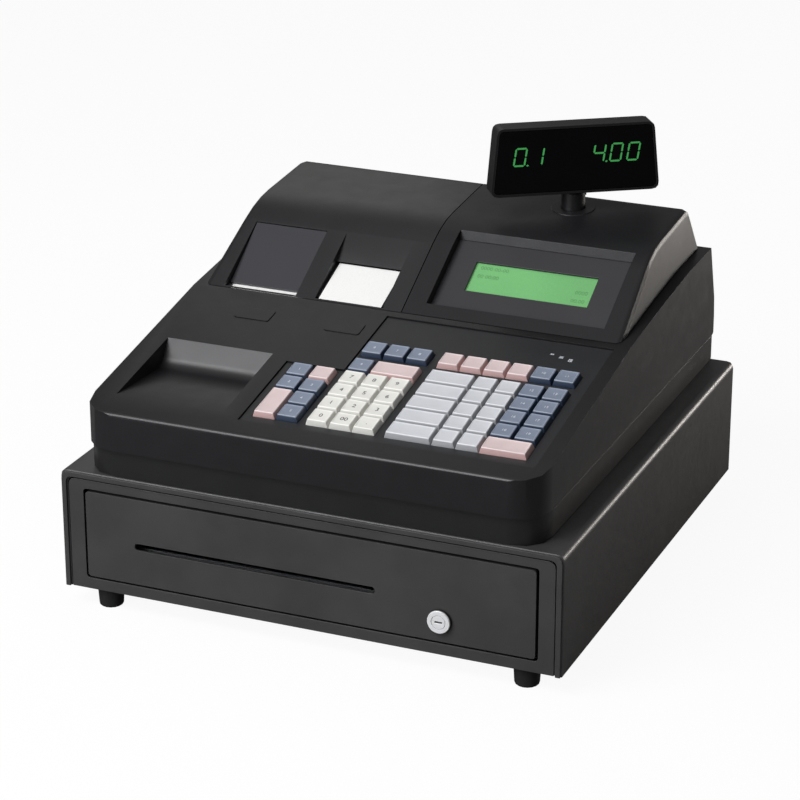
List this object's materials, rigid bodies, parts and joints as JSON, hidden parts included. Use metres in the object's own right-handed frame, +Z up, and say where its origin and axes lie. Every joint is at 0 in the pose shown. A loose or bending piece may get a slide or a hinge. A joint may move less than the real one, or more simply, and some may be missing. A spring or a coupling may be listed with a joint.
{
  "type": "cash register",
  "caption": "Electronic cash register with flat-angled keyboard, two-station printer cover, operator display and swivel customer display on a steel cash drawer.",
  "frame": {"origin": "middle of the underside of the whole, on the surface that the feet stand on", "axes": "+X to the operator's right, +Y from the drawer's front to the back, +Z up"},
  "size_m": [0.41, 0.43, 0.3288],
  "materials": {
    "painted_steel": "satin",
    "zinc_steel": "satin",
    "solenoid_iron": "satin",
    "chrome": "polished",
    "rubber": "matte",
    "till_black": "matte",
    "case_dark": "satin, fine texture",
    "case_grey": "satin, fine texture",
    "bezel_black": "gloss",
    "lcd_glass": "gloss",
    "clear_window": "clear",
    "paper": "matte",
    "circuit": "satin",
    "key_blue": "satin",
    "key_white": "satin",
    "key_pink": "satin"
  },
  "bodies": {
    "register": {"cabinet_cover": "painted_steel", "cabinet_base": "zinc_steel", "front_frame": "painted_steel", "foot_front_left": "rubber", "foot_front_right": "rubber", "foot_rear_left": "rubber", "foot_rear_right": "rubber", "drawer_rail_left": "zinc_steel", "drawer_rail_right": "zinc_steel", "latch_solenoid": "solenoid_iron", "lower_case": "case_grey", "upper_case": "case_dark", "keyboard_panel": "case_dark", "switch_frame": "key_blue", "display_housing": "case_dark", "lcd_bezel": "bezel_black", "lcd_screen": "lcd_glass", "printer_frame": "zinc_steel", "journal_paper": "paper", "main_board": "circuit", "transformer": "solenoid_iron", "power_inlet": "till_black"},
    "drawer": {"drawer_box": "zinc_steel", "drawer_front": "painted_steel", "lock_barrel": "chrome"},
    "lock": {"lock_plug": "chrome"},
    "till": {"till_tray": "till_black"},
    "latch": {"latch_lever": "zinc_steel"},
    "cover": {"printer_cover": "case_dark", "journal_window": "clear_window", "receipt_paper": "paper"},
    "receipt_platen": {"receipt_platen": "rubber"},
    "journal_platen": {"journal_platen": "rubber"},
    "receipt_roll": {"receipt_roll": "paper"},
    "journal_roll": {"journal_roll": "paper"},
    "take_up_spool": {"take_up_spool": "case_grey"},
    "journal_button": {"release_button_journal": "case_dark"},
    "receipt_button": {"release_button_receipt": "case_dark"},
    "pole": {"display_pole": "till_black"},
    "display_head": {"customer_display": "case_grey", "customer_window": "bezel_black"},
    "clip_1": {"bill_clip_1": "till_black"},
    "clip_2": {"bill_clip_2": "till_black"},
    "clip_3": {"bill_clip_3": "till_black"},
    "clip_4": {"bill_clip_4": "till_black"},
    "key_7": {"key_7": "key_white"},
    "key_8": {"key_8": "key_white"},
    "key_9": {"key_9": "key_white"},
    "key_4": {"key_4": "key_white"},
    "key_5": {"key_5": "key_white"},
    "key_6": {"key_6": "key_white"},
    "key_1": {"key_1": "key_white"},
    "key_2": {"key_2": "key_white"},
    "key_3": {"key_3": "key_white"},
    "key_0": {"key_0": "key_white"},
    "key_00": {"key_00": "key_white"},
    "key_decimal": {"key_decimal": "key_white"},
    "key_clear": {"key_clear": "key_pink"},
    "key_feed": {"key_feed": "key_pink"},
    "key_total": {"key_total": "key_pink"}
  },
  "joints": [
    {"name": "drawer_slide", "type": "slide", "parent": "register", "child": "drawer", "axis": [0, -1, 0], "range_m": [0, 0.3]},
    {"name": "cover_hinge", "type": "hinge", "parent": "register", "child": "cover", "pos_m": [0, 0.19071, 0.218], "axis": [-1, 0, 0], "range_deg": [0, 70]},
    {"name": "pole_swivel", "type": "hinge", "parent": "register", "child": "pole", "pos_m": [0.0835, 0.1377, 0.257], "axis": [0, 0, 1], "range_deg": [-150, 150]},
    {"name": "display_tilt", "type": "hinge", "parent": "pole", "child": "display_head", "pos_m": [0.0835, 0.1377, 0.287], "axis": [0.8329, 0.5534, 0], "range_deg": [-8, 8]},
    {"name": "lock_turn", "type": "hinge", "parent": "drawer", "child": "lock", "pos_m": [0.1093, -0.2123, 0.0455], "axis": [0, 1, 0], "range_deg": [0, 90]},
    {"name": "till_lift", "type": "slide", "parent": "drawer", "child": "till", "axis": [0, 0, 1], "range_m": [0, 0.008]},
    {"name": "clip_1_hinge", "type": "hinge", "parent": "till", "child": "clip_1", "pos_m": [-0.13545, 0.14691, 0.0825], "axis": [-1, 0, 0], "range_deg": [0, 12], "stiffness_Nm_per_rad": 0.05, "springref_deg": -17.19},
    {"name": "clip_2_hinge", "type": "hinge", "parent": "till", "child": "clip_2", "pos_m": [-0.04515, 0.14691, 0.0825], "axis": [-1, 0, 0], "range_deg": [0, 12], "stiffness_Nm_per_rad": 0.05, "springref_deg": -17.19},
    {"name": "clip_3_hinge", "type": "hinge", "parent": "till", "child": "clip_3", "pos_m": [0.04515, 0.14691, 0.0825], "axis": [-1, 0, 0], "range_deg": [0, 12], "stiffness_Nm_per_rad": 0.05, "springref_deg": -17.19},
    {"name": "clip_4_hinge", "type": "hinge", "parent": "till", "child": "clip_4", "pos_m": [0.13545, 0.14691, 0.0825], "axis": [-1, 0, 0], "range_deg": [0, 12], "stiffness_Nm_per_rad": 0.05, "springref_deg": -17.19},
    {"name": "latch_hinge", "type": "hinge", "parent": "register", "child": "latch", "pos_m": [0.03, 0.19031, 0.055], "axis": [-1, 0, 0], "range_deg": [0, 12], "stiffness_Nm_per_rad": 0.05, "springref_deg": -11.46},
    {"name": "receipt_platen_turn", "type": "hinge", "parent": "register", "child": "receipt_platen", "pos_m": [-0.051, 0.0397, 0.201], "axis": [1, 0, 0], "continuous": true},
    {"name": "journal_platen_turn", "type": "hinge", "parent": "register", "child": "journal_platen", "pos_m": [-0.129, 0.0397, 0.201], "axis": [1, 0, 0], "continuous": true},
    {"name": "receipt_roll_turn", "type": "hinge", "parent": "register", "child": "receipt_roll", "pos_m": [-0.051, 0.1327, 0.189], "axis": [1, 0, 0], "continuous": true},
    {"name": "journal_roll_turn", "type": "hinge", "parent": "register", "child": "journal_roll", "pos_m": [-0.129, 0.1327, 0.189], "axis": [1, 0, 0], "continuous": true},
    {"name": "take_up_turn", "type": "hinge", "parent": "register", "child": "take_up_spool", "pos_m": [-0.129, 0.01571, 0.175], "axis": [1, 0, 0], "continuous": true},
    {"name": "journal_button_press", "type": "slide", "parent": "register", "child": "journal_button", "axis": [0, 0.1743, -0.9847], "range_m": [0, 0.0015], "stiffness_N_per_m": 400, "springref_m": -0.002},
    {"name": "receipt_button_press", "type": "slide", "parent": "register", "child": "receipt_button", "axis": [0, 0.1743, -0.9847], "range_m": [0, 0.0015], "stiffness_N_per_m": 400, "springref_m": -0.002},
    {"name": "key_7_press", "type": "slide", "parent": "register", "child": "key_7", "axis": [0, 0.1743, -0.9847], "range_m": [0, 0.003], "stiffness_N_per_m": 300, "springref_m": -0.002},
    {"name": "key_8_press", "type": "slide", "parent": "register", "child": "key_8", "axis": [0, 0.1743, -0.9847], "range_m": [0, 0.003], "stiffness_N_per_m": 300, "springref_m": -0.002},
    {"name": "key_9_press", "type": "slide", "parent": "register", "child": "key_9", "axis": [0, 0.1743, -0.9847], "range_m": [0, 0.003], "stiffness_N_per_m": 300, "springref_m": -0.002},
    {"name": "key_4_press", "type": "slide", "parent": "register", "child": "key_4", "axis": [0, 0.1743, -0.9847], "range_m": [0, 0.003], "stiffness_N_per_m": 300, "springref_m": -0.002},
    {"name": "key_5_press", "type": "slide", "parent": "register", "child": "key_5", "axis": [0, 0.1743, -0.9847], "range_m": [0, 0.003], "stiffness_N_per_m": 300, "springref_m": -0.002},
    {"name": "key_6_press", "type": "slide", "parent": "register", "child": "key_6", "axis": [0, 0.1743, -0.9847], "range_m": [0, 0.003], "stiffness_N_per_m": 300, "springref_m": -0.002},
    {"name": "key_1_press", "type": "slide", "parent": "register", "child": "key_1", "axis": [0, 0.1743, -0.9847], "range_m": [0, 0.003], "stiffness_N_per_m": 300, "springref_m": -0.002},
    {"name": "key_2_press", "type": "slide", "parent": "register", "child": "key_2", "axis": [0, 0.1743, -0.9847], "range_m": [0, 0.003], "stiffness_N_per_m": 300, "springref_m": -0.002},
    {"name": "key_3_press", "type": "slide", "parent": "register", "child": "key_3", "axis": [0, 0.1743, -0.9847], "range_m": [0, 0.003], "stiffness_N_per_m": 300, "springref_m": -0.002},
    {"name": "key_0_press", "type": "slide", "parent": "register", "child": "key_0", "axis": [0, 0.1743, -0.9847], "range_m": [0, 0.003], "stiffness_N_per_m": 300, "springref_m": -0.002},
    {"name": "key_00_press", "type": "slide", "parent": "register", "child": "key_00", "axis": [0, 0.1743, -0.9847], "range_m": [0, 0.003], "stiffness_N_per_m": 300, "springref_m": -0.002},
    {"name": "key_decimal_press", "type": "slide", "parent": "register", "child": "key_decimal", "axis": [0, 0.1743, -0.9847], "range_m": [0, 0.003], "stiffness_N_per_m": 300, "springref_m": -0.002},
    {"name": "key_clear_press", "type": "slide", "parent": "register", "child": "key_clear", "axis": [0, 0.1743, -0.9847], "range_m": [0, 0.003], "stiffness_N_per_m": 300, "springref_m": -0.002},
    {"name": "key_feed_press", "type": "slide", "parent": "register", "child": "key_feed", "axis": [0, 0.1743, -0.9847], "range_m": [0, 0.003], "stiffness_N_per_m": 300, "springref_m": -0.002},
    {"name": "key_total_press", "type": "slide", "parent": "register", "child": "key_total", "axis": [0, 0.1743, -0.9847], "range_m": [0, 0.003], "stiffness_N_per_m": 300, "springref_m": -0.002}
  ],
  "couplings": [
    {"joint": "receipt_roll_turn", "follows": "receipt_platen_turn", "ratio": 0.3036},
    {"joint": "journal_roll_turn", "follows": "journal_platen_turn", "ratio": 0.3036},
    {"joint": "take_up_turn", "follows": "journal_platen_turn", "ratio": 1.4167}
  ]
}
